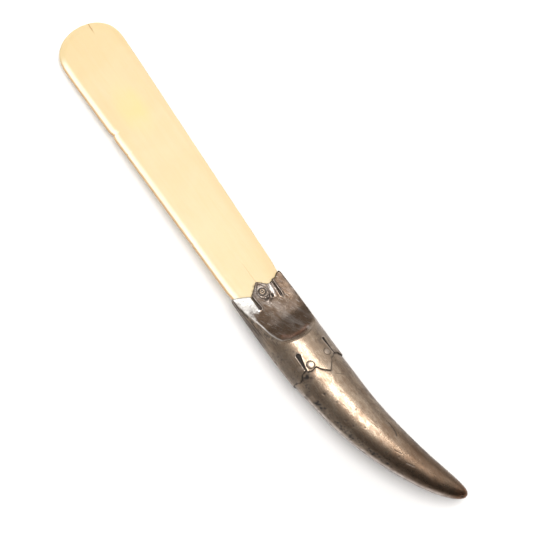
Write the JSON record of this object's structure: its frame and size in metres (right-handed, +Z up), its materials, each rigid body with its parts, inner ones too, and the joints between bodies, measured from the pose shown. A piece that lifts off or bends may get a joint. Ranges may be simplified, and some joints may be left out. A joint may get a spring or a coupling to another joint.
{
  "type": "bone folder",
  "caption": "Flat bone blade with a blunt rounded nose, set in a pierced silver-plated collar on a curved tusk-shaped handle, for creasing, folding and slitting paper.",
  "frame": {"origin": "bottom centre of the bounding box, on the surface the folder lies on", "axes": "+X from the blade's nose to the tusk's tip, +Y towards the side the tusk bends to, +Z up; the folder lies flat face up at rest, its handle end tipped up a few degrees"},
  "size_m": [0.2508, 0.0376, 0.0214],
  "materials": {
    "bone": "polished cream bone, faint lengthwise grain, warmer towards the nose",
    "collar_silver": "silver-plated copper sheet, worn bright on the high spots, brown tarnish in the hollows",
    "tusk_silver": "silver-plated copper sheet, satin with brown tarnish, copper showing at the tip",
    "pitch": "hard dark resin pitch, hidden inside",
    "rivet_silver": "low silver-plated head, dark round its rim"
  },
  "bodies": {
    "root": {"blade": "bone", "collar": "collar_silver", "tusk_front_shell": "tusk_silver", "tusk_back_shell": "tusk_silver", "pitch_filling": "pitch", "lobe_rivet": "rivet_silver"}
  },
  "joints": []
}
